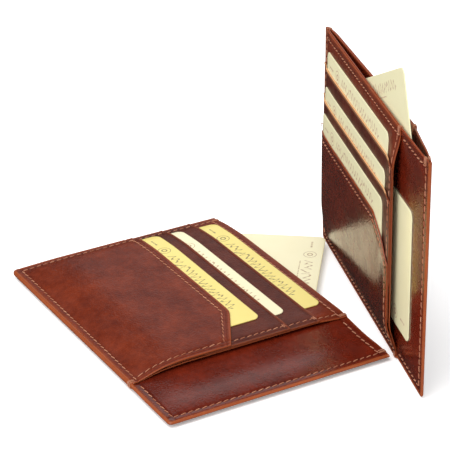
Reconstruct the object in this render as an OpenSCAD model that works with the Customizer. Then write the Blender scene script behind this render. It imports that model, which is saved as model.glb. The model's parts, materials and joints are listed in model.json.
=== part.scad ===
// Travel document organizer: two matching double-sided leather leaves with their cards.
// Each leaf is a flat document pocket, open along one long side, with a card panel sewn on
// each face. One leaf lies on the table, and the other stands on its closed long side.
//
// Leaf frame, used by every leaf module: X along the long side from the closed end,
// Y along the short side towards the pocket mouth, Z outwards from the mid-plane.
// Whole frame: the origin is at the middle of the lying leaf's underside, Z is up.

/* [Leaf] */
// Long side of a leaf
leaf_w = 136; // [130:1:150]
// Short side of a leaf
leaf_h = 95.5; // [94:0.5:105]
// Corner radius of a leaf
leaf_corner_r = 2; // [1:0.5:4]
// Width of the card panel, from the closed end to its free edge
panel_w = 106; // [104:1:112]

/* [Leather] */
// Clear gap between the two walls, for travel documents
document_gap = 0.8; // [0.7:0.1:3]
// Thickness of a wall
wall_t = 0.7; // [0.5:0.1:1]
// Thickness of the card panel
panel_t = 0.5; // [0.4:0.1:0.8]
// Thickness of a slot layer
slot_t = 0.4; // [0.3:0.1:0.6]
// Thickness of the corner pocket
pocket_t = 0.6; // [0.4:0.1:0.8]
// Room behind an empty slot or an empty slip pocket
empty_room = 0.1; // [0.1:0.1:0.4]
// Free play of a card in its slot, across its thickness
card_play = 0.14; // [0.1:0.02:0.3]

/* [Card slots] */
// Height of the upper slot's lip
upper_lip_y = 83; // [81:0.5:85]
// Height of the lower slot's lip
lower_lip_y = 69.5; // [68:0.5:72]
// Height of the corner pocket's lip at the closed end
pocket_lip_y = 55.5; // [51:0.5:59]
// Where the corner pocket's slanted cut begins
pocket_cut_x = 83; // [64:0.5:85]
// Height of the corner pocket at the panel's free edge
pocket_cut_y = 43; // [32:0.5:49]
// How much lower the slots on the standing leaf's front are set
standing_drop = 3; // [0:0.5:3]

/* [Cards] */
// Length of a card
card_w = 85.6; // [84:0.1:86]
// Height of a card
card_h = 54; // [50:0.1:54]
// Thickness of a card
card_t = 0.5; // [0.3:0.02:0.6]
// Corner radius of a card
card_corner_r = 3.2; // [1:0.1:5]

/* [Standing leaf] */
// Place along X of the standing leaf's lower corner
stand_x = -32.5; // [-34:0.5:-30]
// Place along Y of the standing leaf's lower corner
stand_y = 81.7; // [81.3:0.1:90]
// Turn of the standing leaf about Z
stand_turn = -17; // [-18:0.5:-15]

/* [Hidden] */

leather = "saddlebrown";
glossy_leather = "sienna";
thread = "salmon";
gold_card = "khaki";
ivory_card = "ivory";
pale_card = "beige";

$fn = 48;

// Widths of the sewn borders round the card panel's raised field
end_border = 3.5;
low_border = 5.5;
mouth_border = 2.8;
// Width of the welt strip that closes the document pocket on three sides
welt_w = 3;
// Glued margins beside the cards, and the seam below each slot
near_margin = 1.7;
far_margin = 7;
slot_seam_w = 1.5;
// Lower ends of the upper slot, the lower slot and the corner pocket
upper_foot_y = 32;
lower_foot_y = 16;

// Thread, laid as a plain cord along each seam, and flush in a groove where cards pass
thread_w = 0.5;
thread_h = 0.3;
edge_seam = 1.8;
panel_seam = 3;

// Where the cards sit in a leaf's slots, from the upper slot to the corner pocket
card_x = 7.5;
flat_card_y = [37.5, 21, 9.6];
upright_card_y = [34, 19, 7.4];
// Upper corner and turn of the loose cards in the two document pockets
flat_document_corner = [42.5, 125.6];
flat_document_turn = -37;
upright_document_corner = [102, 117.9];
upright_document_turn = 26.5;
// Lower left corner of the card behind the standing leaf's card panel
slip_card_x = 35.5;
slip_card_y = 15;

// A face of a leaf: the room in its slip pocket, the room in each of its card slots, and
// how much lower its slots are set
filled_room = card_t + card_play;
bare_face = [empty_room, empty_room, 0];
flat_face = [empty_room, filled_room, 0];
standing_face = [filled_room, filled_room, standing_drop];

// Heights outwards from the mid-plane. Layer 0 is the card panel, 1 and 2 are the upper and
// lower slots, and 3 is the corner pocket
wall_top = document_gap / 2 + wall_t;
layer_t = [panel_t, slot_t, slot_t, pocket_t];
layer_foot_y = [low_border, upper_foot_y, lower_foot_y, low_border];
panel_lip_y = leaf_h - mouth_border;
slot_lip_y = [panel_lip_y, upper_lip_y, lower_lip_y, pocket_lip_y];
function layer_base(n, face) =
    n == 0 ? wall_top + face[0] : layer_top(n - 1, face) + face[1];
function layer_top(n, face) = layer_base(n, face) + layer_t[n];
function layer_lip(n, face) = n == 0 ? panel_lip_y : slot_lip_y[n] - face[2];

// The lying leaf's mid-plane height: its empty back face rests on the table
back_depth = layer_top(3, bare_face);

module rounded_plate(w, h, r, t) {
    linear_extrude(t)
        union() {
            translate([r, 0]) square([w - 2 * r, h]);
            translate([0, r]) square([w, h - 2 * r]);
            for (x = [r, w - r], y = [r, h - r]) translate([x, y]) circle(r);
        }
}

module on_flat_leaf() {
    translate([-leaf_w / 2, -leaf_h / 2, back_depth]) children();
}

module on_upright_leaf() {
    translate([stand_x, stand_y, 0]) rotate([0, 0, stand_turn]) rotate([90, 0, 0]) children();
}

module on_back() {
    mirror([0, 0, 1]) children();
}

// Welt strip along both closed sides and the closed end, between the walls
module edge_welt() {
    inner_w = leaf_w - 2 * welt_w;
    difference() {
        translate([0, 0, -document_gap / 2])
            rounded_plate(leaf_w, leaf_h, leaf_corner_r, document_gap);
        translate([welt_w, welt_w, -document_gap]) cube([inner_w, leaf_h, 2 * document_gap]);
    }
}

// One wall of the document pocket, with a groove for the seam where it is bare
module wall() {
    difference() {
        translate([0, 0, document_gap / 2])
            rounded_plate(leaf_w, leaf_h, leaf_corner_r, wall_t);
        face_edge_seam();
    }
}

// Card panel: a thin sewn border, a riser, and a raised field over the slip pocket
module card_panel(face) {
    field_w = panel_w - end_border;
    field_h = leaf_h - low_border - mouth_border;
    clear = 0.5;
    difference() {
        translate([0, 0, wall_top])
            intersection() {
                rounded_plate(leaf_w, leaf_h, leaf_corner_r, panel_t);
                cube([panel_w, leaf_h, panel_t]);
            }
        translate([end_border + panel_t, low_border + panel_t, wall_top - clear])
            cube([field_w, field_h - 2 * panel_t, panel_t + 2 * clear]);
        face_edge_seam();
    }
    difference() {
        translate([end_border, low_border, wall_top]) cube([field_w, field_h, face[0] + panel_t]);
        translate([end_border + panel_t, low_border + panel_t, wall_top - clear])
            cube([field_w, field_h - 2 * panel_t, face[0] + clear]);
    }
}

// Outline of slot layer n: straight lips, and a slanted cut on the corner pocket
module layer_outline(n, face) {
    foot = layer_foot_y[n];
    lip = layer_lip(n, face);
    if (n < 3)
        translate([end_border, foot]) square([panel_w - end_border, lip - foot]);
    else
        polygon([[end_border, foot], [panel_w, foot], [panel_w, pocket_cut_y - face[2]],
                 [pocket_cut_x, lip], [end_border, lip]]);
}

// Sewn margins of slot layer n: both sides, and the seam along its lower end
module layer_margins(n, face) {
    foot = layer_foot_y[n];
    intersection() {
        layer_outline(n, face);
        union() {
            translate([end_border, foot]) square([near_margin, leaf_h]);
            translate([panel_w - far_margin, foot]) square([far_margin, leaf_h]);
            translate([end_border, foot]) square([panel_w, slot_seam_w]);
        }
    }
}

// Slot layer n: a sheet over one card space, closed on three sides by its margins.
// Below the previous layer's foot the margins reach down to the card panel.
module slot_layer(n, face) {
    base = layer_base(n, face);
    under = layer_top(n - 1, face);
    panel_top = layer_top(0, face);
    step_y = n == 1 ? upper_foot_y : layer_foot_y[n - 1];
    translate([0, 0, base]) linear_extrude(layer_t[n]) layer_outline(n, face);
    translate([0, 0, under]) linear_extrude(base - under) layer_margins(n, face);
    if (n > 1)
        translate([0, 0, panel_top])
            linear_extrude(base - panel_top)
                intersection() {
                    layer_margins(n, face);
                    square([leaf_w, step_y]);
                }
}

// Corner pocket, with a groove that its own seam lies in
module corner_pocket(face) {
    difference() {
        slot_layer(3, face);
        pocket_seam(face);
    }
}

// A straight run of thread from point a to point b at height z
module thread_run(a, b, z) {
    run = b - a;
    translate([a[0], a[1], z])
        rotate([0, 0, atan2(run[1], run[0])])
            translate([0, -thread_w / 2, 0]) cube([norm(run), thread_w, thread_h]);
}

// Seam round one face of a leaf, flush: in the panel's border, then in the bare wall
module face_edge_seam() {
    near = edge_seam;
    far_x = leaf_w - edge_seam;
    far_y = leaf_h - edge_seam;
    border_z = wall_top + panel_t - thread_h;
    wall_z = wall_top - thread_h;
    for (y = [near, far_y]) {
        thread_run([near, y], [panel_w, y], border_z);
        thread_run([panel_w, y], [far_x, y], wall_z);
    }
    thread_run([near, near], [near, far_y], border_z);
    thread_run([far_x, near], [far_x, far_y], wall_z);
}

module edge_stitching() {
    face_edge_seam();
    on_back() face_edge_seam();
}

// Height of the slanted cut above the seam that runs down the panel's free edge
cut_slope = (pocket_cut_y - pocket_lip_y) / (panel_w - pocket_cut_x);
cut_at_seam = pocket_cut_y - panel_seam * cut_slope;

// Seam on the corner pocket, flush in its groove: along the lip, the cut and the free edge
module pocket_seam(face) {
    seam_x = panel_w - panel_seam;
    seam_z = layer_top(3, face) - thread_h;
    lip_y = layer_lip(3, face) - panel_seam;
    cut_y = cut_at_seam - panel_seam - face[2];
    thread_run([end_border, lip_y], [pocket_cut_x, lip_y], seam_z);
    thread_run([pocket_cut_x, lip_y], [seam_x, cut_y], seam_z);
    thread_run([seam_x, low_border], [seam_x, cut_y], seam_z);
}

// Seam on the card panel: the pocket's, then up the free edge from layer to layer
module panel_stitching(face) {
    seam_x = panel_w - panel_seam;
    pocket_seam(face);
    cut_y = cut_at_seam + thread_w - face[2];
    lower_y = layer_lip(2, face);
    upper_y = layer_lip(1, face);
    thread_run([seam_x, cut_y], [seam_x, lower_y], layer_top(2, face));
    thread_run([seam_x, lower_y], [seam_x, upper_y], layer_top(1, face));
    thread_run([seam_x, upper_y], [seam_x, panel_lip_y], layer_top(0, face));
}

// Bar tack at x over the pocket mouth's rim, on the layer whose top is at height top
module mouth_tack(x, top) {
    tack_w = 2.4;
    tack_l = 1.4;
    translate([x - tack_w / 2, leaf_h - tack_l, top]) cube([tack_w, tack_l, thread_h]);
    translate([x - tack_w / 2, leaf_h, document_gap / 2])
        cube([tack_w, thread_h, top + thread_h - document_gap / 2]);
}

// Tacks at the panel's free edge and at both ends of the pocket mouth
module face_tacks() {
    border_top = wall_top + panel_t;
    end_inset = 3.5;
    mouth_tack(end_inset, border_top);
    mouth_tack(panel_w - end_inset / 2, border_top);
    mouth_tack(leaf_w - end_inset, wall_top);
}

module bar_tacks() {
    face_tacks();
    on_back() face_tacks();
}

module card() {
    rounded_plate(card_w, card_h, card_corner_r, card_t);
}

// Card in the space behind slot layer n of a front face
module slot_card(n, y, face) {
    translate([card_x, y, layer_top(n - 1, face) + card_play / 2]) card();
}

// Card in the document pocket, placed by its upper corner
module document_card(corner, turn, corner_x) {
    translate([corner[0], corner[1], -card_t / 2])
        rotate([0, 0, turn]) translate([-corner_x, -card_h, 0]) card();
}

module slip_card() {
    translate([slip_card_x, slip_card_y, wall_top + card_play / 2]) card();
}

module flat_edge_welt() { color(leather) on_flat_leaf() edge_welt(); }
module flat_front_wall() { color(glossy_leather) on_flat_leaf() wall(); }
module flat_back_wall() { color(glossy_leather) on_flat_leaf() on_back() wall(); }
module flat_front_card_panel() { color(leather) on_flat_leaf() card_panel(flat_face); }
module flat_front_upper_slot() { color(leather) on_flat_leaf() slot_layer(1, flat_face); }
module flat_front_lower_slot() { color(leather) on_flat_leaf() slot_layer(2, flat_face); }
module flat_front_corner_pocket() { color(leather) on_flat_leaf() corner_pocket(flat_face); }
module flat_back_card_panel() { color(leather) on_flat_leaf() on_back() card_panel(bare_face); }
module flat_back_upper_slot() { color(leather) on_flat_leaf() on_back() slot_layer(1, bare_face); }
module flat_back_lower_slot() { color(leather) on_flat_leaf() on_back() slot_layer(2, bare_face); }
module flat_back_corner_pocket() {
    color(leather) on_flat_leaf() on_back() corner_pocket(bare_face);
}
module flat_edge_stitching() { color(thread) on_flat_leaf() edge_stitching(); }
module flat_front_panel_stitching() { color(thread) on_flat_leaf() panel_stitching(flat_face); }
module flat_back_panel_stitching() {
    color(thread) on_flat_leaf() on_back() panel_stitching(bare_face);
}
module flat_bar_tacks() { color(thread) on_flat_leaf() bar_tacks(); }
module flat_upper_card() {
    color(gold_card) on_flat_leaf() slot_card(1, flat_card_y[0], flat_face);
}
module flat_middle_card() {
    color(ivory_card) on_flat_leaf() slot_card(2, flat_card_y[1], flat_face);
}
module flat_lower_card() {
    color(gold_card) on_flat_leaf() slot_card(3, flat_card_y[2], flat_face);
}
module flat_document_card() {
    color(ivory_card) on_flat_leaf()
        document_card(flat_document_corner, flat_document_turn, 0);
}

module upright_edge_welt() { color(leather) on_upright_leaf() edge_welt(); }
module upright_front_wall() { color(glossy_leather) on_upright_leaf() wall(); }
module upright_back_wall() { color(glossy_leather) on_upright_leaf() on_back() wall(); }
module upright_front_card_panel() { color(leather) on_upright_leaf() card_panel(standing_face); }
module upright_front_upper_slot() { color(leather) on_upright_leaf() slot_layer(1, standing_face); }
module upright_front_lower_slot() { color(leather) on_upright_leaf() slot_layer(2, standing_face); }
module upright_front_corner_pocket() {
    color(glossy_leather) on_upright_leaf() corner_pocket(standing_face);
}
module upright_back_card_panel() {
    color(leather) on_upright_leaf() on_back() card_panel(bare_face);
}
module upright_back_upper_slot() {
    color(leather) on_upright_leaf() on_back() slot_layer(1, bare_face);
}
module upright_back_lower_slot() {
    color(leather) on_upright_leaf() on_back() slot_layer(2, bare_face);
}
module upright_back_corner_pocket() {
    color(leather) on_upright_leaf() on_back() corner_pocket(bare_face);
}
module upright_edge_stitching() { color(thread) on_upright_leaf() edge_stitching(); }
module upright_front_panel_stitching() {
    color(thread) on_upright_leaf() panel_stitching(standing_face);
}
module upright_back_panel_stitching() {
    color(thread) on_upright_leaf() on_back() panel_stitching(bare_face);
}
module upright_bar_tacks() { color(thread) on_upright_leaf() bar_tacks(); }
module upright_upper_card() {
    color(pale_card) on_upright_leaf() slot_card(1, upright_card_y[0], standing_face);
}
module upright_middle_card() {
    color(pale_card) on_upright_leaf() slot_card(2, upright_card_y[1], standing_face);
}
module upright_lower_card() {
    color(pale_card) on_upright_leaf() slot_card(3, upright_card_y[2], standing_face);
}
module upright_document_card() {
    color(pale_card) on_upright_leaf()
        document_card(upright_document_corner, upright_document_turn, card_w);
}
module upright_slip_card() { color(pale_card) on_upright_leaf() slip_card(); }

flat_edge_welt();
flat_front_wall();
flat_back_wall();
flat_front_card_panel();
flat_front_upper_slot();
flat_front_lower_slot();
flat_front_corner_pocket();
flat_back_card_panel();
flat_back_upper_slot();
flat_back_lower_slot();
flat_back_corner_pocket();
flat_edge_stitching();
flat_front_panel_stitching();
flat_back_panel_stitching();
flat_bar_tacks();
flat_upper_card();
flat_middle_card();
flat_lower_card();
flat_document_card();
upright_edge_welt();
upright_front_wall();
upright_back_wall();
upright_front_card_panel();
upright_front_upper_slot();
upright_front_lower_slot();
upright_front_corner_pocket();
upright_back_card_panel();
upright_back_upper_slot();
upright_back_lower_slot();
upright_back_corner_pocket();
upright_edge_stitching();
upright_front_panel_stitching();
upright_back_panel_stitching();
upright_bar_tacks();
upright_upper_card();
upright_middle_card();
upright_lower_card();
upright_document_card();
upright_slip_card();
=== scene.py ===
"""Travel document organizer: two leather leaves with their cards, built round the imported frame.

Leather and cards are worked out in the leaf's own frame, in millimetres: x from the closed
end, y from the closed long side towards the pocket mouth, z out of the leaf's mid-plane.
Each leaf then places its points in the shared frame, in metres.
"""
import json
import math

import bpy
import numpy as np
from mathutils import Matrix, Vector


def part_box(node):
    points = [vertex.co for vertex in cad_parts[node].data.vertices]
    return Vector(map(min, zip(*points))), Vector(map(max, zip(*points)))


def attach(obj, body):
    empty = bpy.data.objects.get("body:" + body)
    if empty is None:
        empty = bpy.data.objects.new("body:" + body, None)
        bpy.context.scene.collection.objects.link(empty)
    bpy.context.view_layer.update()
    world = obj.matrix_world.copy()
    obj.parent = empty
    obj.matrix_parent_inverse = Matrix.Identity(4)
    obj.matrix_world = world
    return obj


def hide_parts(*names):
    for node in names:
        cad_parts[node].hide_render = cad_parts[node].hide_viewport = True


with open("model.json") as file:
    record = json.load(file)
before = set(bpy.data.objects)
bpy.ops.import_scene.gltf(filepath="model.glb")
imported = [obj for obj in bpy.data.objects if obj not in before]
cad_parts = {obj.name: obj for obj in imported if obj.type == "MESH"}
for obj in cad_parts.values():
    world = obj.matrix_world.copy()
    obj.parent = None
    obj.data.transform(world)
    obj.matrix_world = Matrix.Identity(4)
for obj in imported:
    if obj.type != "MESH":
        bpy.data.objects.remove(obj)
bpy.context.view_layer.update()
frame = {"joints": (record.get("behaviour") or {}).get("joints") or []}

MM = 0.001

# ---------------------------------------------------------------- sizes, in millimetres

LEAF_LOW, LEAF_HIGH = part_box("flat_front_wall")
LEAF_W = (LEAF_HIGH.x - LEAF_LOW.x) / MM
LEAF_H = (LEAF_HIGH.y - LEAF_LOW.y) / MM
PANEL_W = (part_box("flat_front_card_panel")[1].x - LEAF_LOW.x) / MM
MID_HEIGHT = (LEAF_LOW.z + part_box("flat_back_wall")[1].z) / 2 / MM

CORNER_R = 1.8
WALL_T = 0.7
PANEL_T = 0.5
SLOT_T = 0.4
POCKET_T = 0.6
CARD_W = 85.6
CARD_H = 54.0
CARD_CORNER_R = 3.2
CARD_T = 0.4
CARD_ROOM = 0.44
EMPTY_ROOM = 0.05
POCKET_HALF_GAP = 0.27

# Layers of one face, from the wall out
WALL, PANEL, UPPER, LOWER, POCKET = -1, 0, 1, 2, 3
LAYER_T = {PANEL: PANEL_T, UPPER: SLOT_T, LOWER: SLOT_T, POCKET: POCKET_T}
LAYER_FOOT = {WALL: 0.0, PANEL: 0.0, UPPER: 32.0, LOWER: 16.0, POCKET: 0.0}
UPPER_LIP = 83.0
LOWER_LIP = 69.5
POCKET_LIP = 55.5
CUT_X = 83.0
CUT_Y = 43.0
# How much lower the slots on the standing leaf's front are set
STANDING_DROP = 3.0

# Cards in the slots: their left end, and the low edge of the one behind each layer
CARD_X = 7.5
FLAT_CARD_LOW = {UPPER: 37.5, LOWER: 21.0, POCKET: 9.6}
UPRIGHT_CARD_LOW = {UPPER: 34.0, LOWER: 19.0, POCKET: 7.4}
# Where a layer's room is full, so that the cards in front of it slide over a level face
ROOM_FULL_Y = 20.5
# How far below that, or below its own card, a layer begins to rise
CARD_RUN = {UPPER: 14.0, LOWER: 14.0, POCKET: 6.4}

# Loose cards: where the upper corner sits, and the turn in degrees; the slip card's low corner
FLAT_DOCUMENT_CORNER, FLAT_DOCUMENT_TURN = (42.5, 125.6), -37.0
UPRIGHT_DOCUMENT_CORNER, UPRIGHT_DOCUMENT_TURN = (102.0, 117.9), 26.5
SLIP_CARD_X, SLIP_CARD_Y = 35.5, 15.0

# Seams from a leaf's or a panel's edge, creases beside a cut edge, and the thread
SEAM = 3.2
END_SEAM = 3.5
CREASE = 1.4
EDGE_INSET = 0.5
RELIEF_W = 0.3
CHANNEL_W = 0.6
STITCH_PITCH = 3.0
STITCH_HALF = 1.28
STITCH_SLANT = math.radians(11.0)
LIP_GAP = 0.6
PANEL_GAP = 1.5
TAN_LIP = {"flat": 0.35, "upright": 1.0}
LIP_BEAD = 0.2
THREAD_R = 0.21
LOOP_R = 0.17
LOOP_STEPS = 17
RIM_REACH = 1.2

# The camera in the shared frame, in metres, and its lens in millimetres
CAMERA_PLACE = (0.6224, -0.3365, 0.3944)
CAMERA_FORWARD = (-0.7788, 0.4394, -0.4477)
CAMERA_UP = (-0.3833, 0.2316, 0.8941)
CAMERA_LENS = 163.6


# ---------------------------------------------------------------- formulas

def smooth(t):
    """Zero below 0 and one above 1, with an S-shaped cubic rise between."""
    t = np.clip(t, 0.0, 1.0)
    return t * t * (3.0 - 2.0 * t)


def ramp(t, ease=0.12):
    """A straight rise from zero at 0 to one at 1, with both bends rounded."""
    return 0.5 * (1.0 + np.hypot(t, ease) - np.hypot(t - 1.0, ease))


def bell(d, width):
    """A bump of height one at distance zero, falling off over a width."""
    return np.exp(-(d / width) ** 2)


def soft_max(a, b, blend):
    """The larger of two values, rounded where they cross."""
    return 0.5 * (a + b + np.sqrt((a - b) ** 2 + blend ** 2))


CUT_SLOPE = (POCKET_LIP - CUT_Y) / (PANEL_W - CUT_X)


def pocket_lip(x, drop):
    """Height of the corner pocket's lip: level, then falling in a straight slanted cut."""
    return POCKET_LIP - drop - CUT_SLOPE * soft_max(x - CUT_X, 0.0, 1.2)


def lip_height(layer, x, drop):
    """Height of a layer's upper edge at x."""
    level = {WALL: LEAF_H, PANEL: LEAF_H, UPPER: UPPER_LIP - drop, LOWER: LOWER_LIP - drop}
    return pocket_lip(x, drop) if layer == POCKET else np.full_like(x, level[layer])


def lip_distance(layer, x, y, drop):
    """Distance below a layer's upper edge, measured square to the edge."""
    tilt = 1.0 / math.hypot(1.0, CUT_SLOPE)
    square = np.where(x > CUT_X, tilt, 1.0) if layer == POCKET else 1.0
    return (lip_height(layer, x, drop) - y) * square


def top_layer(x, y, drop):
    """The outermost layer that covers a point of a face."""
    layer = np.full(np.shape(x), WALL)
    on_panel = x < PANEL_W
    for n in (PANEL, UPPER, LOWER, POCKET):
        layer = np.where(on_panel & (y < lip_height(n, x, drop)), n, layer)
    return layer


class Leaf:
    """One leather leaf: where it is, how it bends, and how much its card spaces hold."""

    def __init__(self, name, origin, axes, front_rooms, card_low, drop, droop, mouth, lift):
        self.name = name
        self.body = name + "_leaf"
        self.origin = np.array(origin)
        self.axes = np.array(axes)
        self.rooms = {1: front_rooms, -1: (EMPTY_ROOM, EMPTY_ROOM)}
        self.card_low = card_low
        self.drop = {1: drop, -1: 0.0}
        self.droop = droop
        self.mouth = mouth
        self.lift = lift

    def place(self, points):
        """Leaf millimetres to shared metres: origin plus each coordinate times its axis."""
        return self.origin + (points * MM) @ self.axes

    def mid(self, x, y):
        """Sag of the mid-plane: the closed edges and the bare end droop to the table."""
        reach = 26.0
        rim = 1.0 - smooth(x / reach) * smooth(y / reach)
        strip = smooth((x - PANEL_W + 7.0) / 23.0)
        return -self.droop * (rim * (1.0 - strip) + 1.3 * strip)

    def gape(self, x, y, side):
        """How far a wall stands off at the pocket's mouth: a ridge at the panel's free edge."""
        peak = PANEL_W - 1.0
        rise = np.minimum(x / peak, (LEAF_W - x) / (LEAF_W - peak))
        return self.mouth[side] * np.clip(rise, 0.0, 1.0) * np.clip(y / LEAF_H, 0, 1) ** 1.6

    def wall_inner(self, x, y, side):
        """Inside of the document pocket: pressed flat at the three closed edges."""
        free = smooth((x - 2.0) / 6.0) * smooth((LEAF_W - 2.0 - x) / 6.0) * smooth((y - 2.0) / 6.0)
        return 0.1 + (POCKET_HALF_GAP - 0.1) * free + self.gape(x, y, side)

    def skive(self, x, y):
        """Leather thinned towards the closed edges, to just over half."""
        return 0.55 + 0.45 * smooth(x / 12.0) * smooth((LEAF_W - x) / 12.0) * smooth(y / 12.0)

    def slip_rise(self, x, y):
        """Room of the slip pocket: none at its three seams, full over the card."""
        return ramp((x - 3.5) / 18.0) * ramp((y - 4.0) / 10.0) * ramp((LEAF_H - 4.0 - y) / 14.0)

    def side_rise(self, x):
        """Room of the card slots across the leaf: none at the two upright seams."""
        return ramp((x - SEAM) / 4.3) * ramp((PANEL_W - 1.5 - x) / 10.0)

    def card_rise(self, layer, y):
        """Room of one slot up the leaf: it opens from below and is full at its card."""
        full = min(self.card_low[layer], ROOM_FULL_Y)
        return ramp((y - full + CARD_RUN[layer]) / CARD_RUN[layer])

    def thickness(self, layer, x, y):
        """A layer's leather: thinned at the closed edges, and a slot layer's towards its foot."""
        if layer == WALL:
            return WALL_T * self.skive(x, y)
        foot = ramp((y - 5.0) / 14.0) if layer in (UPPER, LOWER) else 1.0
        return LAYER_T[layer] * self.skive(x, y) * foot

    def stack(self, layer, x, y, side):
        """Outer surface of a layer: the wall, then each card space and layer on top of it."""
        z = self.wall_inner(x, y, side) + self.thickness(WALL, x, y)
        if layer == WALL:
            return z
        slip_room, slot_room = self.rooms[side]
        free = smooth((x - 92.0) / 14.0) * smooth((np.minimum(y, LEAF_H - y) - 2.0) / 14.0)
        z = z + slip_room * self.slip_rise(x, y) + self.lift[side] * free
        z = z + self.thickness(PANEL, x, y)
        for n in (UPPER, LOWER, POCKET)[:layer]:
            z = z + slot_room * self.side_rise(x) * self.card_rise(n, y)
            z = z + self.thickness(n, x, y)
        return z

    def press(self, x, y, side):
        """Share of a face's height that is left where the table presses on the lying leaf."""
        if side > 0 or self.droop == 0.0:
            return 1.0
        left = MID_HEIGHT - 0.08 + self.mid(x, y)
        return np.minimum(1.0, left / self.stack(POCKET, x, y, side))

    def outer(self, layer, x, y, side):
        """Outer surface of a layer, as pressed by the table."""
        return self.stack(layer, x, y, side) * self.press(x, y, side)

    def relief(self, layer, x, y, side):
        """Creases and seam channels pressed into a layer's outer face."""
        lip = lip_distance(layer, x, y, self.drop[side])
        dents = 0.12 * bell(lip - CREASE, RELIEF_W) if layer in (UPPER, LOWER, POCKET) else 0.0
        if layer == POCKET:
            dents = dents + 0.14 * bell(lip - SEAM, CHANNEL_W)
        seams = [x - SEAM, y - SEAM, LEAF_H - SEAM - y]
        if layer == WALL:
            seams.append(LEAF_W - END_SEAM - x)
        else:
            seams.append(PANEL_W - SEAM - x)
            dents = dents + 0.10 * bell(PANEL_W - CREASE - x, RELIEF_W)
        channel = sum(bell(d, CHANNEL_W) for d in seams)
        return dents + 0.14 * np.clip(channel, 0.0, 1.0)


def read_leaves():
    """The two leaves, placed by the lying wall's box and by the standing leaf's joint."""
    flat = Leaf("flat", [LEAF_LOW.x, LEAF_LOW.y, MID_HEIGHT * MM],
                [[1, 0, 0], [0, 1, 0], [0, 0, 1]], (EMPTY_ROOM, CARD_ROOM), FLAT_CARD_LOW,
                0.0, 1.5, {1: 0.0, -1: 0.0}, {1: 1.0, -1: 0.0})
    tip = next(j for j in frame["joints"] if j["name"] == "upright_leaf_tip")
    along = -np.array(tip["axis"])
    out = np.array([along[1], -along[0], 0.0])
    foot = np.array(tip["pos_m"]) + MID_HEIGHT * MM * out
    upright = Leaf("upright", foot, [along, [0, 0, 1], out], (CARD_ROOM, CARD_ROOM),
                   UPRIGHT_CARD_LOW, STANDING_DROP, 0.0, {1: 0.3, -1: 3.2}, {1: 2.2, -1: 0.5})
    return flat, upright


# ---------------------------------------------------------------- meshes

def add_piece(name, points, quads, material, body, replaces=(), uv=None, values=None,
              triangles=None):
    """A finished mesh piece from whole arrays, riding on a body."""
    faces = [tuple(q) for q in quads.tolist()]
    if triangles is not None:
        faces += [tuple(t) for t in triangles.tolist()]
    mesh = bpy.data.meshes.new(name)
    mesh.from_pydata(points.tolist(), [], faces)
    mesh.polygons.foreach_set("use_smooth", np.ones(len(mesh.polygons), bool))
    if uv is not None:
        corner = np.empty(len(mesh.loops), np.int32)
        mesh.loops.foreach_get("vertex_index", corner)
        layer = mesh.uv_layers.new(name="leather")
        layer.data.foreach_set("uv", uv[corner].astype(np.float32).ravel())
    for key, value in (values or {}).items():
        attribute = mesh.attributes.new(key, "FLOAT", "POINT")
        attribute.data.foreach_set("value", value.astype(np.float32))
    mesh.materials.append(material)
    mesh.update()
    piece = bpy.data.objects.new(name, mesh)
    bpy.context.scene.collection.objects.link(piece)
    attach(piece, body)
    if replaces:
        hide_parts(*replaces)
    return piece


def ticks(low, high, step, marks=()):
    """Coordinates from low to high, crowded round each mark where a crease or seam runs."""
    close = np.array([-1.1, -0.7, -0.42, -0.2, 0.0, 0.2, 0.42, 0.7, 1.1])
    values = [np.linspace(low, high, int((high - low) / step) + 1)]
    values += [mark + close for mark in marks]
    values = np.sort(np.concatenate(values))
    values = values[(values >= low) & (values <= high)]
    keep = np.concatenate([[True], np.diff(values) > 0.09])
    values = values[keep]
    values[-1] = high
    return values


def grid_quads(rows, cols):
    """Quads of a rows-by-cols grid of points, seen anticlockwise from above."""
    i, j = np.meshgrid(np.arange(rows - 1), np.arange(cols - 1), indexing="ij")
    a = (i * cols + j).ravel()
    return np.stack([a, a + cols, a + cols + 1, a + 1], 1)


def grid_loop(rows, cols):
    """Indices once round a grid's border, anticlockwise."""
    near = np.arange(rows) * cols
    right = (rows - 1) * cols + np.arange(1, cols)
    far = np.arange(rows - 2, -1, -1) * cols + cols - 1
    left = np.arange(cols - 2, 0, -1)
    return np.concatenate([near, right, far, left])


def round_corner(x, y, cx, cy, sx, sy, r):
    """Square corner region to a quarter disc: each coordinate shrinks by the other's square."""
    a = np.clip((x - cx) * sx / r, 0.0, 1.0)
    b = np.clip((y - cy) * sy / r, 0.0, 1.0)
    inside = (a > 0) & (b > 0)
    nx = cx + sx * r * a * np.sqrt(1.0 - b * b / 2.0)
    ny = cy + sy * r * b * np.sqrt(1.0 - a * a / 2.0)
    return np.where(inside, nx, x), np.where(inside, ny, y)


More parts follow.
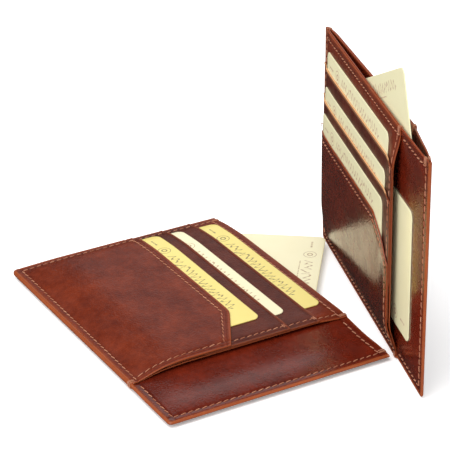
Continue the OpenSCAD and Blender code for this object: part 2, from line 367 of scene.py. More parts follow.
def closed_sheet(x, y, top, bottom, side, rim_steps=5):
    """A closed sheet over a grid: top, bottom, and a half-round rim between their borders.

    Returns leaf-frame points, quads, and each point's share of the way to the rim.
    """
    rows, cols = x.shape
    loop = grid_loop(rows, cols)
    px, py = x.ravel()[loop], y.ravel()[loop]
    tx = np.roll(px, -1) - np.roll(px, 1)
    ty = np.roll(py, -1) - np.roll(py, 1)
    length = np.hypot(tx, ty)
    nx, ny = ty / length, -tx / length
    half = (top.ravel()[loop] - bottom.ravel()[loop]) / 2.0
    middle = (top.ravel()[loop] + bottom.ravel()[loop]) / 2.0
    turn = np.pi * np.arange(1, rim_steps)[:, None] / rim_steps
    rim = np.stack([px + nx * half * np.sin(turn), py + ny * half * np.sin(turn),
                    middle + half * np.cos(turn)], -1).reshape(-1, 3)
    count = rows * cols
    points = np.concatenate([np.stack([x.ravel(), y.ravel(), top.ravel()], 1),
                             np.stack([x.ravel(), y.ravel(), bottom.ravel()], 1), rim])
    points[:, 2] *= side
    skin = grid_quads(rows, cols)
    around = len(loop)
    ladder = np.concatenate([loop[None], 2 * count + np.arange(rim.shape[0]).reshape(-1, around),
                             count + loop[None]])
    nxt = np.roll(ladder, -1, 1)
    band = np.stack([ladder[:-1], ladder[1:], nxt[1:], nxt[:-1]], -1).reshape(-1, 4)
    quads = np.concatenate([skin, count + skin[:, ::-1], band])
    if side < 0:
        quads = quads[:, ::-1]
    on_rim = np.zeros(len(points))
    on_rim[2 * count:] = 1.0
    on_rim[loop] = 0.5
    on_rim[count + loop] = 0.5
    return points, quads, on_rim


# ---------------------------------------------------------------- materials

def new_material(name, colour, roughness, coat=0.0, coat_roughness=0.1):
    """A principled material whose constant values are set on its own sockets."""
    material = bpy.data.materials.new(name)
    material.use_nodes = True
    tree = material.node_tree
    shader = tree.nodes["Principled BSDF"]
    shader.inputs["Base Color"].default_value = (*colour, 1.0)
    shader.inputs["Roughness"].default_value = roughness
    shader.inputs["Coat Weight"].default_value = coat
    shader.inputs["Coat Roughness"].default_value = coat_roughness
    return material, tree, shader


def node(tree, kind, **settings):
    """A shader node, with its settings or its inputs' values given by name."""
    made = tree.nodes.new("ShaderNode" + kind)
    for key, value in settings.items():
        if key in made.inputs:
            made.inputs[key].default_value = value
        else:
            setattr(made, key, value)
    return made


def mix_colours(tree, factor, first, second):
    """A colour mix; each of its inputs is a socket or a plain value."""
    made = node(tree, "Mix", data_type="RGBA")
    for index, value in ((0, factor), (6, first), (7, second)):
        if isinstance(value, bpy.types.NodeSocket):
            tree.links.new(value, made.inputs[index])
        else:
            made.inputs[index].default_value = value if index == 0 else (*value, 1.0)
    return made.outputs[2]


def math_node(tree, operation, first, second=0.0, third=0.0):
    """One arithmetic step on sockets or plain numbers."""
    made = node(tree, "Math", operation=operation)
    for index, value in enumerate((first, second, third)):
        if isinstance(value, bpy.types.NodeSocket):
            tree.links.new(value, made.inputs[index])
        else:
            made.inputs[index].default_value = value
    return made.outputs[0]


def map_range(tree, value, low, high, to_low, to_high):
    """A socket's range moved to another range, and held inside it."""
    made = node(tree, "MapRange")
    tree.links.new(value, made.inputs["Value"])
    for key, number in (("From Min", low), ("From Max", high), ("To Min", to_low),
                        ("To Max", to_high)):
        made.inputs[key].default_value = number
    return made.outputs["Result"]


def glazed_leather(name, deep, bright, worn, roughness, coat, grain=0.22):
    """Glazed leather: mottled dye, fine pebble grain, paler burnished edges, and painted shade
    darkening its creases and seam channels.
    """
    material, tree, shader = new_material(name, bright, roughness, coat, 0.10)
    shader.inputs["Specular IOR Level"].default_value = 0.3
    uv = node(tree, "UVMap", uv_map="leather").outputs["UV"]

    def noise(scale, detail, rough=0.5):
        made = node(tree, "TexNoise", Scale=scale, Detail=detail, Roughness=rough)
        tree.links.new(uv, made.inputs["Vector"])
        return made.outputs["Fac"]

    cloud = map_range(tree, noise(6.5, 6.0, 0.66), 0.36, 0.66, 0.0, 1.0)
    fibre = map_range(tree, noise(38.0, 4.0, 0.65), 0.40, 0.66, 0.0, 1.0)
    dye = math_node(tree, "MULTIPLY_ADD", fibre, 0.35, math_node(tree, "MULTIPLY", cloud, 0.65))
    colour = mix_colours(tree, dye, deep, bright)
    rim = node(tree, "Attribute", attribute_name="rim").outputs["Fac"]
    cut = node(tree, "Attribute", attribute_name="cut").outputs["Fac"]
    painted_crease_shade = node(tree, "Attribute", attribute_name="painted_crease_shade").outputs["Fac"]
    colour = mix_colours(tree, rim, colour, worn)
    colour = mix_colours(tree, cut, colour, (0.72, 0.38, 0.17))
    # Painted shade: creases and seam channels darkened towards a deeper brown, by how deep they
    # are pressed.
    colour = mix_colours(tree, painted_crease_shade, colour, tuple(0.45 * c for c in deep))
    tree.links.new(colour, shader.inputs["Base Color"])

    pebble = node(tree, "TexVoronoi", feature="SMOOTH_F1", Scale=135.0)
    pebble.inputs["Smoothness"].default_value = 0.6
    tree.links.new(uv, pebble.inputs["Vector"])
    height = math_node(tree, "MULTIPLY_ADD", noise(260.0, 2.0), 0.5, pebble.outputs["Distance"])
    height = math_node(tree, "MULTIPLY_ADD", noise(22.0, 3.0), 1.4, height)
    bump = node(tree, "Bump", Strength=grain, Distance=0.0004)
    tree.links.new(height, bump.inputs["Height"])
    tree.links.new(bump.outputs["Normal"], shader.inputs["Normal"])
    tree.links.new(bump.outputs["Normal"], shader.inputs["Coat Normal"])
    dull = map_range(tree, noise(15.0, 3.0), 0.3, 0.7, roughness - 0.06, roughness + 0.1)
    dull = math_node(tree, "MULTIPLY_ADD", cut, 0.4, dull)
    tree.links.new(dull, shader.inputs["Roughness"])
    return material


def sewing_thread(name):
    """Waxed thread: salmon strands, each stitch a little lighter or darker, with a twist."""
    material, tree, shader = new_material(name, (0.50, 0.19, 0.10), 0.6)
    place = node(tree, "TexCoord").outputs["Object"]
    twist = node(tree, "TexWave", Scale=900.0, Distortion=1.5, bands_direction="DIAGONAL")
    tree.links.new(place, twist.inputs["Vector"])
    shade = node(tree, "Attribute", attribute_name="shade").outputs["Fac"]
    colour = mix_colours(tree, shade, (0.38, 0.12, 0.055), (0.66, 0.31, 0.18))
    colour = mix_colours(tree, math_node(tree, "MULTIPLY", twist.outputs["Fac"], 0.35), colour,
                         (0.30, 0.08, 0.04))
    tree.links.new(colour, shader.inputs["Base Color"])
    bump = node(tree, "Bump", Strength=0.4, Distance=0.0001)
    tree.links.new(twist.outputs["Fac"], bump.inputs["Height"])
    tree.links.new(bump.outputs["Normal"], shader.inputs["Normal"])
    return material


def printed_card(name, paper, tint, ink):
    """Laminated card: faint paper mottle, a pen scribble, dashes and rings, no lettering."""
    material, tree, shader = new_material(name, paper, 0.35, 0.5, 0.08)
    uv = node(tree, "UVMap", uv_map="leather").outputs["UV"]
    split = node(tree, "SeparateXYZ")
    tree.links.new(uv, split.inputs["Vector"])
    across, height = split.outputs["X"], split.outputs["Y"]

    def band(value, centre, half):
        """One inside a band of a coordinate, and zero outside it."""
        away = math_node(tree, "ABSOLUTE", math_node(tree, "SUBTRACT", value, centre))
        return math_node(tree, "LESS_THAN", away, half)

    def dashes(centre, half, first, last, scale):
        """A row of dashes of uneven length, from first to last."""
        along = math_node(tree, "MULTIPLY", across, scale)
        row = node(tree, "TexNoise", Scale=1.0, Detail=0.0, noise_dimensions="1D")
        tree.links.new(along, row.inputs["W"])
        on = math_node(tree, "GREATER_THAN", row.outputs["Fac"], 0.44)
        span = band(across, (first + last) / 2, (last - first) / 2)
        return math_node(tree, "MULTIPLY", math_node(tree, "MULTIPLY", on, span),
                         band(height, centre, half))

    def ring(cx, cy, radius, width):
        """A thin ring round a centre."""
        dx = math_node(tree, "POWER", math_node(tree, "SUBTRACT", across, cx), 2.0)
        dy = math_node(tree, "POWER", math_node(tree, "SUBTRACT", height, cy), 2.0)
        return band(math_node(tree, "SQRT", math_node(tree, "ADD", dx, dy)), radius, width)

    def scribble(centre, reach, first, last, turns):
        """A thin pen line that swings up and down unevenly, from first to last."""
        sway = node(tree, "TexNoise", Scale=1.0, Detail=1.0, noise_dimensions="1D")
        tree.links.new(math_node(tree, "MULTIPLY", across, 45.0), sway.inputs["W"])
        angle = math_node(tree, "MULTIPLY_ADD", sway.outputs["Fac"], 5.0,
                          math_node(tree, "MULTIPLY", across, turns))
        swing = math_node(tree, "MULTIPLY", math_node(tree, "SINE", angle), sway.outputs["Fac"])
        line = math_node(tree, "MULTIPLY_ADD", swing, reach, centre)
        away = math_node(tree, "ABSOLUTE", math_node(tree, "SUBTRACT", height, line))
        span = band(across, (first + last) / 2, (last - first) / 2)
        return math_node(tree, "MULTIPLY", math_node(tree, "LESS_THAN", away, 0.0042), span)

    marks = [scribble(0.487, 0.030, 0.22, 0.74, 210.0), dashes(0.452, 0.0022, 0.22, 0.60, 160.0),
             dashes(0.487, 0.004, 0.05, 0.10, 210.0), ring(0.165, 0.487, 0.026, 0.0014),
             ring(0.165, 0.487, 0.010, 0.0028)]
    ink_on = marks[0]
    for mark in marks[1:]:
        ink_on = math_node(tree, "MAXIMUM", ink_on, mark)
    mottle = node(tree, "TexNoise", Scale=12.0, Detail=4.0)
    tree.links.new(uv, mottle.inputs["Vector"])
    colour = mix_colours(tree, mottle.outputs["Fac"], paper, tint)
    colour = mix_colours(tree, math_node(tree, "MULTIPLY", ink_on, 0.75), colour, ink)
    tree.links.new(colour, shader.inputs["Base Color"])
    fibre = node(tree, "TexNoise", Scale=220.0, Detail=2.0)
    tree.links.new(uv, fibre.inputs["Vector"])
    bump = node(tree, "Bump", Strength=0.03, Distance=0.0001)
    tree.links.new(fibre.outputs["Fac"], bump.inputs["Height"])
    tree.links.new(bump.outputs["Normal"], shader.inputs["Normal"])
    return material


MAHOGANY = glazed_leather("mahogany_panel_leather", (0.105, 0.011, 0.003),
                          (0.215, 0.030, 0.008), (0.30, 0.060, 0.016), 0.36, 0.22)
GLOSSY = glazed_leather("glossy_wall_leather", (0.080, 0.007, 0.0025),
                        (0.165, 0.016, 0.005), (0.27, 0.050, 0.014), 0.24, 0.85, 0.09)
PLUM = glazed_leather("plum_slot_leather", (0.070, 0.010, 0.005),
                      (0.140, 0.024, 0.011), (0.24, 0.050, 0.016), 0.38, 0.2)
EDGE_PAINT = glazed_leather("burnished_edge", (0.20, 0.036, 0.010),
                            (0.36, 0.075, 0.018), (0.42, 0.10, 0.026), 0.32, 0.4, 0.2)
THREAD = sewing_thread("salmon_thread")
GOLD = printed_card("gold_card", (0.85, 0.70, 0.19), (0.89, 0.75, 0.25), (0.10, 0.07, 0.05))
IVORY = printed_card("ivory_card", (0.91, 0.84, 0.54), (0.94, 0.88, 0.60), (0.40, 0.24, 0.12))
PALE = printed_card("pale_card", (0.86, 0.81, 0.50), (0.90, 0.85, 0.56), (0.42, 0.17, 0.12))


# ---------------------------------------------------------------- leather

def edge_values(leaf, layer, side, x, y, on_rim):
    """Burnish and raw-edge shares of a sheet's points: paint on the rim, tan on cut lips."""
    lip = lip_distance(layer, x, y, leaf.drop[side])
    cut = np.zeros_like(x)
    if layer in (UPPER, LOWER):
        bare = 1.0 - smooth((x - PANEL_W + 9.0) / 2.5)
        cut = (on_rim > 0.9) * (lip < 0.35) * bare * TAN_LIP[leaf.name]
        if leaf.name == "upright":
            cut = np.maximum(cut, 0.5 * bell(lip - 0.9, 0.45) * bare)
    near = np.minimum(np.minimum(x, PANEL_W - x if layer != WALL else LEAF_W - x),
                      np.minimum(y, np.maximum(lip, 0.0)))
    rim = np.clip(0.75 * bell(np.maximum(near, 0.0), 0.8) + 0.9 * on_rim, 0.0, 0.9) * (1 - cut)
    return rim, cut


def leather_sheet(leaf, layer, side, node_name, material):
    """One leather layer: its outline on a crowded grid, between inner and outer surfaces."""
    drop = leaf.drop[side]
    far = (LEAF_W if layer == WALL else PANEL_W) - EDGE_INSET
    foot = max(LAYER_FOOT[layer], EDGE_INSET)
    lip = float(lip_height(layer, np.array([0.0]), drop)[0]) - EDGE_INSET * 0.4
    upright_marks = [SEAM, 5.0, 7.5, PANEL_W - SEAM, PANEL_W - CREASE]
    level_marks = [SEAM, 5.0, 7.0, LEAF_H - SEAM, lip - CREASE, lip - SEAM]
    if layer == WALL:
        upright_marks = [SEAM, 5.0, PANEL_W, LEAF_W - END_SEAM]
    s = ticks(EDGE_INSET, far, 1.6, upright_marks)
    q = ticks(foot, lip, 1.6, level_marks)
    x, q = np.meshgrid(s, q, indexing="ij")
    fall = lip_height(layer, np.zeros_like(x), drop) - lip_height(layer, x, drop)
    y = q - fall * smooth((q - foot - 6.0) / (lip - foot - 12.0))
    corners = [(CORNER_R, CORNER_R, -1, -1)] if layer != UPPER and layer != LOWER else []
    if layer in (WALL, PANEL):
        corners.append((CORNER_R, LEAF_H - CORNER_R, -1, 1))
    if layer == WALL:
        corners += [(LEAF_W - CORNER_R, CORNER_R, 1, -1),
                    (LEAF_W - CORNER_R, LEAF_H - CORNER_R, 1, 1)]
    for cx, cy, sx, sy in corners:
        x, y = round_corner(x, y, cx, cy, sx, sy, CORNER_R - EDGE_INSET)
    outer = leaf.outer(layer, x, y, side)
    thick = leaf.thickness(layer, x, y) * leaf.press(x, y, side)
    inner = outer - thick
    outer = outer - leaf.relief(layer, x, y, side) * np.clip(thick / 0.5, 0.3, 1.0)
    if layer in (UPPER, LOWER):
        outer = outer + LIP_BEAD * bell(lip_distance(layer, x, y, drop), 0.8)
    sag = leaf.mid(x, y) * side
    points, quads, on_rim = closed_sheet(x, y, outer + sag, inner + sag, side)
    rim, cut = edge_values(leaf, layer, side, points[:, 0], points[:, 1], on_rim)
    # Painted shade: the depth of the creases and seam channels, kept as a share that darkens their
    # colour.
    painted_crease_shade = np.clip(leaf.relief(layer, points[:, 0], points[:, 1], side) / 0.2, 0.0, 1.0) * 0.5
    return add_piece(f"{node_name}_leather", leaf.place(points), quads, material, leaf.body,
                     [node_name], points[:, :2] / 100.0 + 0.37 * (layer + 2),
                     {"rim": rim, "cut": cut, "painted_crease_shade": painted_crease_shade * (1 - on_rim)})


def rim_path():
    """Points and outward directions along the three closed edges, round the two low corners."""
    r = CORNER_R
    short_steps, long_steps = 90, 120
    a = np.linspace(LEAF_H - 0.4, r, short_steps)
    turn = np.linspace(np.pi, 1.5 * np.pi, 8)[1:-1]
    b = np.linspace(r, LEAF_W - r, long_steps)
    back = np.linspace(1.5 * np.pi, 2 * np.pi, 8)[1:-1]
    path = np.concatenate([
        np.stack([0 * a, a], 1),
        np.stack([r + r * np.cos(turn), r + r * np.sin(turn)], 1),
        np.stack([b, 0 * b], 1),
        np.stack([LEAF_W - r + r * np.cos(back), r + r * np.sin(back)], 1),
        np.stack([0 * a + LEAF_W, a[::-1]], 1)])
    out = np.concatenate([
        np.tile([-1.0, 0.0], (len(a), 1)), np.stack([np.cos(turn), np.sin(turn)], 1),
        np.tile([0.0, -1.0], (len(b), 1)), np.stack([np.cos(back), np.sin(back)], 1),
        np.tile([1.0, 0.0], (len(a), 1))])
    return path, out


def stack_height(leaf, x, y, side):
    """Height of the whole stack near a closed edge, with its steps at the lips eased."""
    z = leaf.outer(WALL, x, y, side)
    on_panel = 1.0 - smooth((x - PANEL_W + 1.0) / 1.5)
    for n in (PANEL, UPPER, LOWER, POCKET):
        here = smooth((lip_height(n, x, leaf.drop[side]) - y) / 2.0 + 0.5) if n != PANEL else 1.0
        z = z + (leaf.outer(n, x, y, side) - leaf.outer(n - 1, x, y, side)) * here * on_panel
    return z


def burnished_rim(leaf):
    """The closed edges' painted bead: a half ellipse swept along them, as high as the stack."""
    path, out = rim_path()
    inset = path - RIM_REACH * out
    top = stack_height(leaf, inset[:, 0], inset[:, 1], 1) + 0.06
    low = -stack_height(leaf, inset[:, 0], inset[:, 1], -1) - 0.06
    sag = leaf.mid(inset[:, 0], inset[:, 1])
    turn = np.linspace(0.5 * np.pi, -0.5 * np.pi, 13)
    middle = ((top + low) / 2)[:, None]
    half = ((top - low) / 2)[:, None]
    reach = RIM_REACH * np.clip(np.cos(turn), 0, 1) ** 0.7
    ring_x = inset[:, :1] + out[:, :1] * reach
    ring_y = inset[:, 1:] + out[:, 1:] * reach
    ring_z = middle + half * np.sin(turn) + sag[:, None]
    rows, cols = ring_x.shape
    points = np.stack([ring_x, ring_y, ring_z], -1).reshape(-1, 3)
    quads = grid_quads(rows, cols)
    first = np.arange(rows - 1) * cols
    close = np.stack([first, first + cols - 1, first + 2 * cols - 1, first + cols], 1)
    ends = np.arange(cols // 2)
    cap = np.stack([ends, ends + 1, cols - 2 - ends, cols - 1 - ends], 1)
    last = (rows - 1) * cols
    quads = np.concatenate([quads, close, cap[:, ::-1], last + cap])
    run = np.concatenate([[0.0], np.cumsum(np.hypot(*np.diff(path, axis=0).T))])
    uv = np.stack([np.repeat(run, cols), np.tile(np.linspace(0, 3.4, cols), rows) * 3], 1) / 100
    rim = np.full(len(points), 0.35)
    zero = np.zeros(len(points))
    add_piece(f"{leaf.name}_burnished_rim", leaf.place(points), quads, EDGE_PAINT, leaf.body,
              [f"{leaf.name}_edge_welt"], uv,
              {"rim": rim, "cut": zero, "painted_crease_shade": zero})


def dress_leaf(leaf, pocket_leather):
    """All the leather of one leaf, both faces."""
    for side, face in ((1, "front"), (-1, "back")):
        stem = f"{leaf.name}_{face}"
        leather_sheet(leaf, WALL, side, f"{stem}_wall", GLOSSY)
        leather_sheet(leaf, PANEL, side, f"{stem}_card_panel", MAHOGANY)
        leather_sheet(leaf, UPPER, side, f"{stem}_upper_slot", PLUM)
        leather_sheet(leaf, LOWER, side, f"{stem}_lower_slot", PLUM)
        leather_sheet(leaf, POCKET, side, f"{stem}_corner_pocket", pocket_leather)
    burnished_rim(leaf)


# ---------------------------------------------------------------- stitching

def tube(path, radius, sides=6):
    """Points, quads and end triangles of round tubes swept along paths of equal length.

    path is (tubes, rings, 3) and radius is (tubes, rings) or a number. Each ring is a circle
    across the path, turned from one fixed direction, and the two ends close on a point.
    """
    tubes, rings, _ = path.shape
    radius = np.broadcast_to(radius, (tubes, rings))
    tangent = np.gradient(path, axis=1)
    tangent /= np.linalg.norm(tangent, axis=2, keepdims=True)
    helper = np.array([0.31, -0.22, 0.92])
    first = np.cross(tangent, helper)
    first /= np.linalg.norm(first, axis=2, keepdims=True)
    second = np.cross(tangent, first)
    angle = np.linspace(0, 2 * np.pi, sides, endpoint=False)
    circle = (first[:, :, None] * np.cos(angle)[:, None]
              + second[:, :, None] * np.sin(angle)[:, None])
    body = path[:, :, None] + radius[:, :, None, None] * circle
    points = np.concatenate([body.reshape(tubes, -1, 3), path[:, :1], path[:, -1:]], 1)
    r, k = np.meshgrid(np.arange(rings - 1), np.arange(sides), indexing="ij")
    a = (r * sides + k).ravel()
    b = (r * sides + (k + 1) % sides).ravel()
    quads = np.stack([a, b, b + sides, a + sides], 1)
    k = np.arange(sides)
    nxt = (k + 1) % sides
    last = (rings - 1) * sides
    start, end = rings * sides, rings * sides + 1
    fans = np.concatenate([np.stack([0 * k + start, nxt, k], 1),
                           np.stack([0 * k + end, last + k, last + nxt], 1)])
    per = rings * sides + 2
    shift = (np.arange(tubes) * per)[:, None, None]
    return (points.reshape(-1, 3), (quads[None] + shift).reshape(-1, 4),
            (fans[None] + shift).reshape(-1, 3), per)


def sewn_run(start, end):
    """Middles and direction of the stitches along a straight seam."""
    start, end = np.array(start, float), np.array(end, float)
    length = np.linalg.norm(end - start)
    count = max(1, int(round(length / STITCH_PITCH)))
    share = (np.arange(count) + 0.5) / count
    direction = (end - start) / length
    return start + share[:, None] * (end - start), np.tile(direction, (count, 1))


def stitches(leaf, side, runs, rng):
    """Stitch paths on a face: short arches on the top layer, slanted a little to the seam."""
    middles = np.concatenate([m for m, _ in runs])
    along = np.concatenate([d for _, d in runs])
    slant = STITCH_SLANT + rng.normal(0, 0.03, len(middles))
    dx = along[:, 0] * np.cos(slant) - along[:, 1] * np.sin(slant)
    dy = along[:, 0] * np.sin(slant) + along[:, 1] * np.cos(slant)
    share = np.linspace(-1, 1, 7)
    reach = STITCH_HALF + rng.normal(0, 0.05, len(middles))
    x = middles[:, :1] + dx[:, None] * reach[:, None] * share
    y = middles[:, 1:] + dy[:, None] * reach[:, None] * share
    layer = top_layer(middles[:, :1], middles[:, 1:], leaf.drop[side]) + np.zeros(x.shape, int)
    z = layer_height(leaf, layer, x, y, side)
    z = z - 0.07 + 0.16 * (1.0 - 1.9 * share ** 6)
    z = z * side + leaf.mid(x, y)
    return np.stack([x, y, z], -1)


def layer_height(leaf, layer, x, y, side):
    """Outer height of each point's own layer, with its creases, before the leaf's sag."""
    z = np.zeros(np.shape(x))
    for n in (WALL, PANEL, UPPER, LOWER, POCKET):
        z = np.where(layer == n, leaf.outer(n, x, y, side) - leaf.relief(n, x, y, side), z)
    return z


def face_height(leaf, x, y, side):
    """Outer height of whichever layer is on top at a point, before the leaf's sag."""
    return layer_height(leaf, top_layer(x, y, leaf.drop[side]), x, y, side)


def sew(name, leaf, paths, rng, replaces, radius=THREAD_R):
    """One piece of thread made of many short tubes, each with its own shade."""
    ends = 1.0 - 0.35 * np.linspace(-1, 1, paths.shape[1]) ** 4
    points, quads, fans, per = tube(leaf.place(paths), radius * MM * ends[None])
    shade = np.repeat(np.clip(rng.normal(0.5, 0.25, len(paths)), 0, 1), per)
    return add_piece(name, points, quads, THREAD, leaf.body, replaces, None,
                     {"shade": shade}, fans)


def broken_run(x, low, high, lips):
    """Stitches up a seam at x, with a gap where each lip crosses it."""
    ends = [low] + [y + gap for y in lips for gap in (-LIP_GAP, LIP_GAP)] + [high]
    return [sewn_run((x, a), (x, b)) for a, b in zip(ends[::2], ends[1::2])]


def edge_runs(drop):
    """The seam round one face of a leaf."""
    far_y = LEAF_H - SEAM
    end_x = LEAF_W - END_SEAM
    runs = [sewn_run((SEAM, y), (PANEL_W - PANEL_GAP, y)) for y in (SEAM, far_y)]
    runs += [sewn_run((PANEL_W + PANEL_GAP, y), (end_x, y)) for y in (SEAM, far_y)]
    runs.append(sewn_run((end_x, SEAM), (end_x, far_y)))
    return runs + broken_run(SEAM, SEAM, far_y, [POCKET_LIP - drop, LOWER_LIP - drop,
                                                 UPPER_LIP - drop])


def panel_runs(drop):
    """The seams of a card panel: the pocket's lip, its free edge, and a tack at each lip's end."""
    inner_x = PANEL_W - SEAM
    level_y = POCKET_LIP - drop - SEAM
    cut_y = float(pocket_lip(np.array([inner_x]), drop)[0]) - SEAM
    lips = [LOWER_LIP - drop, UPPER_LIP - drop]
    runs = [sewn_run((SEAM + 1, level_y), (CUT_X - 0.6, level_y)),
            sewn_run((CUT_X - 0.4, level_y - 0.2), (inner_x, cut_y)),
            sewn_run((inner_x, SEAM + 1), (inner_x, cut_y - 0.5))]
    runs += broken_run(inner_x, cut_y + SEAM + 0.8, LEAF_H - SEAM, lips)
    for y in lips:
        runs += [sewn_run((inner_x - 1.6, y - below), (inner_x + 1.4, y - below))
                 for below in (0.8, 1.5)]
    return runs


def stitch_leaf(leaf, rng):
    """The seams of one leaf: round its edges, down each panel's free edge, and its lips."""
    both = [stitches(leaf, side, edge_runs(leaf.drop[side]), rng) for side in (1, -1)]
    sew(f"{leaf.name}_edge_stitches", leaf, np.concatenate(both), rng,
        [f"{leaf.name}_edge_stitching"])
    for side, face in ((1, "front"), (-1, "back")):
        paths = stitches(leaf, side, panel_runs(leaf.drop[side]), rng)
        sew(f"{leaf.name}_{face}_panel_stitches", leaf, paths, rng,
            [f"{leaf.name}_{face}_panel_stitching"])


def mouth_wrap(leaf, x, side, rng):
    """Loops of thread over a mouth flap's rim: out of one face, over the edge, into the other."""
    share = np.linspace(0, 1, LOOP_STEPS)
    face_y = LEAF_H - SEAM + (SEAM + 0.25) * np.minimum(share * 2.2, 1.0)
    inner_y = LEAF_H + 0.25 - (SEAM + 0.25) * np.clip((share - 0.55) * 2.2, 0.0, 1.0)
    y = np.minimum(face_y, inner_y)
    lane = x + rng.normal(0, 0.12, 1)[0] + 0.35 * (share - 0.5)
    at = np.minimum(y, LEAF_H - 0.4)
    outside = face_height(leaf, np.full_like(at, x), at, side) + 0.12
    inside = leaf.wall_inner(np.full_like(at, x), at, side) - 0.05
    over = smooth((share - 0.42) / 0.16)
    dive = 0.5 * bell(share, 0.06)
    z = (outside - dive) * (1 - over) + inside * over
    return np.stack([lane, y, z * side + leaf.mid(lane, at)], -1)


def low_wrap(leaf, x, rng):
    """A loop of thread round the closed long side, from the front seam to the back seam."""
    turn = np.linspace(-0.5, np.pi + 0.5, LOOP_STEPS)
    depth = SEAM * 0.5
    y = depth - (depth + 0.12) * np.sin(np.clip(turn, 0, np.pi)) ** 0.6
    y = np.where((turn < 0) | (turn > np.pi), SEAM, y)
    at = np.maximum(y, 1.2)
    front = face_height(leaf, np.full_like(at, x), at, 1)
    back = face_height(leaf, np.full_like(at, x), at, -1)
    half = (front + back) / 2 + 0.10
    middle = (front - back) / 2
    z = middle + half * np.clip(np.cos(np.clip(turn, 0, np.pi)) * 1.35, -1, 1)
    z = np.where(turn < 0, middle + half - 0.35, z)
    z = np.where(turn > np.pi, middle - half + 0.35, z)
    lane = x + rng.normal(0, 0.1, 1)[0] + 0 * turn
    return np.stack([lane, y, z + leaf.mid(lane, at)], -1)


def loose_tail(leaf):
    """A loose thread end at the closed end: a short arc that leaves the seam and hangs down."""
    share = np.linspace(0, 1, LOOP_STEPS)
    x = SEAM - 0.4 - 4.6 * share
    y = POCKET_LIP - STANDING_DROP + 0.9 * np.sin(np.pi * share) - 2.4 * share ** 2
    at = np.maximum(x, 1.2)
    z = face_height(leaf, at, y, 1) + 0.1 + 0.5 * np.sin(np.pi * share)
    return np.stack([x, y, z], -1)


def tack_leaf(leaf, rng):
    """Bar tacks: bundles of loops at the panel's free edge and at both ends of the mouth."""
    loops = []
    for middle, count in ((3.2, 2), (PANEL_W - 1.8, 3), (LEAF_W - 4.0, 3)):
        for k in range(count):
            lane = middle + (k - (count - 1) / 2) * 0.6
            loops += [mouth_wrap(leaf, lane, side, rng) for side in (1, -1)]
    for k in range(3):
        loops.append(low_wrap(leaf, PANEL_W - 1.8 + (k - 1) * 0.7, rng))
    if leaf.name == "upright":
        loops.append(loose_tail(leaf))
    sew(f"{leaf.name}_bar_tack_loops", leaf, np.stack(loops), rng, [f"{leaf.name}_bar_tacks"],
        LOOP_R)


# ---------------------------------------------------------------- cards

def card_sheet(name, place, material, body, replaces, turned=False):
    """A laminated card: a flat rounded plate; place turns its flat points into metres."""
    bevel = 0.06
    width, height, r = CARD_W, CARD_H, CARD_CORNER_R
    x, y = np.meshgrid(ticks(0.0, width, 2.5, [1.5, width - 1.5]),
                       ticks(0.0, height, 2.5, [1.5, height - 1.5]), indexing="ij")
    for cx, cy, sx, sy in ((r, r, -1, -1), (width - r, r, 1, -1), (r, height - r, -1, 1),
                           (width - r, height - r, 1, 1)):
        x, y = round_corner(x, y, cx, cy, sx, sy, r)
    x = x + bevel * (width / 2 - x) / (width / 2)
    y = y + bevel * (height / 2 - y) / (height / 2)
    half = np.full_like(x, CARD_T / 2)
    points, quads, _ = closed_sheet(x, y, half, -half, 1, 4)
    squeeze = points[2 * x.size:]
    squeeze[:, :2] += (np.clip(squeeze[:, :2], 0, [width, height]) - squeeze[:, :2]) * 0.7
    uv = points[:, :2] / 100.0
    if turned:
        uv = np.array([width, height]) / 100.0 - uv
    return add_piece(name, place(points), quads, material, body, replaces, uv)


def slot_card(leaf, layer, node_name, material, slot):
    """A card behind a slot layer: it lies on the layer below it and bends with the leaf."""
    def place(points):
        x = points[:, 0] + CARD_X
        y = points[:, 1] + leaf.card_low[layer]
        z = points[:, 2] + leaf.outer(layer - 1, x, y, 1) + CARD_ROOM / 2 + leaf.mid(x, y)
        return leaf.place(np.stack([x, y, z], 1))
    card_sheet(f"{node_name}_print", place, material, f"{node_name}_body", [node_name])


def document_card(leaf, corner, turn, corner_x, node_name, material):
    """A card in the document pocket, turned about its upper corner."""
    c, s = math.cos(math.radians(turn)), math.sin(math.radians(turn))

    def place(points):
        u = points[:, 0] - corner_x
        v = points[:, 1] - CARD_H
        x = corner[0] + c * u - s * v
        y = corner[1] + s * u + c * v
        return leaf.place(np.stack([x, y, points[:, 2] + leaf.mid(x, y)], 1))
    card_sheet(f"{node_name}_print", place, material, f"{node_name}_body", [node_name])


def slip_card(leaf, low_x, low_y, node_name, material):
    """A card in the slip pocket behind the card panel."""
    def place(points):
        x = points[:, 0] + low_x
        y = points[:, 1] + low_y
        z = points[:, 2] + leaf.outer(WALL, x, y, 1) + CARD_ROOM / 2
        return leaf.place(np.stack([x, y, z], 1))
    card_sheet(f"{node_name}_print", place, material, f"{node_name}_body", [node_name],
               turned=True)


def deal_cards(flat, upright):
    """Every card in its place."""
    flat_stock = {"upper": (GOLD, "gold_card"), "middle": (IVORY, "ivory_card"),
                  "lower": (GOLD, "gold_card")}
    for label, layer in (("upper", UPPER), ("middle", LOWER), ("lower", POCKET)):
        slot_card(flat, layer, f"flat_{label}_card", *flat_stock[label])
        slot_card(upright, layer, f"upright_{label}_card", PALE, "pale_card")
    document_card(flat, FLAT_DOCUMENT_CORNER, FLAT_DOCUMENT_TURN, 0.0, "flat_document_card",
                  IVORY)
    document_card(upright, UPRIGHT_DOCUMENT_CORNER, UPRIGHT_DOCUMENT_TURN, CARD_W,
                  "upright_document_card", PALE)
    slip_card(upright, SLIP_CARD_X, SLIP_CARD_Y, "upright_slip_card", PALE)


# ---------------------------------------------------------------- studio

def aim(obj, place, forward, up):
    """Stands an object at a place, looking along forward."""
    forward = Vector(forward).normalized()
    right = forward.cross(Vector(up)).normalized()
    true_up = right.cross(forward)
    turn = Matrix((right, true_up, -forward)).transposed().to_4x4()
    obj.matrix_world = Matrix.Translation(Vector(place)) @ turn


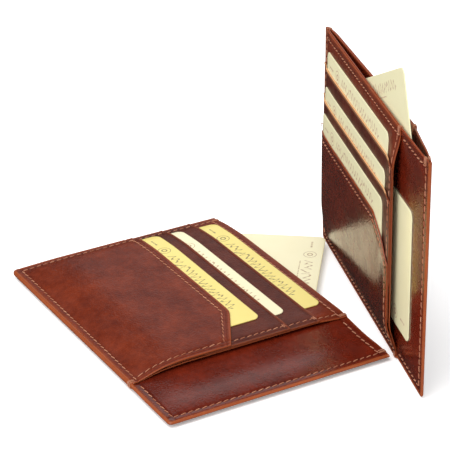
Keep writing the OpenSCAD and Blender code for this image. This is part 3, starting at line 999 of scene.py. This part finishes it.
def set_camera():
    """The camera: a long lens from above the lying leaf's bare end."""
    data = bpy.data.cameras.new("camera")
    data.lens = CAMERA_LENS
    data.clip_end = 20.0
    camera = bpy.data.objects.new("camera", data)
    bpy.context.scene.collection.objects.link(camera)
    aim(camera, CAMERA_PLACE, CAMERA_FORWARD, CAMERA_UP)
    bpy.context.scene.camera = camera


def area_light(name, place, target, size, power):
    """A soft square light aimed at a point."""
    data = bpy.data.lights.new(name, "AREA")
    data.size = size
    data.energy = power
    light = bpy.data.objects.new(name, data)
    bpy.context.scene.collection.objects.link(light)
    aim(light, place, Vector(target) - Vector(place), (0.0, 0.1, 1.0))


def dim_reflections(tree, seen, reflected, output):
    """Mixes two shaders, so that the studio looks pale but reflects dark, as black flags do."""
    mix = node(tree, "MixShader")
    tree.links.new(node(tree, "LightPath").outputs["Is Glossy Ray"], mix.inputs[0])
    tree.links.new(seen, mix.inputs[1])
    tree.links.new(reflected, mix.inputs[2])
    tree.links.new(mix.outputs[0], output)


def set_studio():
    """A pale floor, an even white surround and soft lights."""
    material, tree, shader = new_material("studio_floor", (0.97, 0.97, 0.97), 0.9)
    shader.inputs["Emission Color"].default_value = (1.0, 1.0, 1.0, 1.0)
    shader.inputs["Emission Strength"].default_value = 0.22
    flag = node(tree, "BsdfDiffuse", Color=(0.03, 0.025, 0.022, 1.0))
    dim_reflections(tree, shader.outputs[0], flag.outputs[0],
                    tree.nodes["Material Output"].inputs["Surface"])
    reach = 4.0
    corners = np.array([[-reach, -reach, 0], [reach, -reach, 0], [reach, reach, 0],
                        [-reach, reach, 0]])
    mesh = bpy.data.meshes.new("studio_floor")
    mesh.from_pydata(corners.tolist(), [], [(0, 1, 2, 3)])
    mesh.materials.append(material)
    floor = bpy.data.objects.new("studio_floor", mesh)
    floor.location.z = -0.0004
    bpy.context.scene.collection.objects.link(floor)
    world = bpy.data.worlds.new("studio")
    world.use_nodes = True
    tree = world.node_tree
    surround = tree.nodes["Background"]
    surround.inputs["Color"].default_value = (1.0, 1.0, 1.0, 1.0)
    surround.inputs["Strength"].default_value = 0.86
    flags = node(tree, "Background", Color=(1.0, 0.8, 0.62, 1.0), Strength=0.04)
    dim_reflections(tree, surround.outputs[0], flags.outputs[0],
                    tree.nodes["World Output"].inputs["Surface"])
    bpy.context.scene.world = world
    bpy.context.scene.view_settings.view_transform = "Standard"
    area_light("key_light", (0.1, -0.5, 1.3), (0.0, 0.0, 0.03), 1.0, 13.0)
    area_light("sheen_light", (-1.1, 0.62, 0.62), (0.0, 0.0, 0.0), 0.6, 0.6)


set_camera()
set_studio()
flat_leaf, upright_leaf = read_leaves()
dress_leaf(flat_leaf, MAHOGANY)
dress_leaf(upright_leaf, GLOSSY)
thread_rng = np.random.default_rng(7)
for leather_leaf in (flat_leaf, upright_leaf):
    stitch_leaf(leather_leaf, thread_rng)
    tack_leaf(leather_leaf, thread_rng)
deal_cards(flat_leaf, upright_leaf)
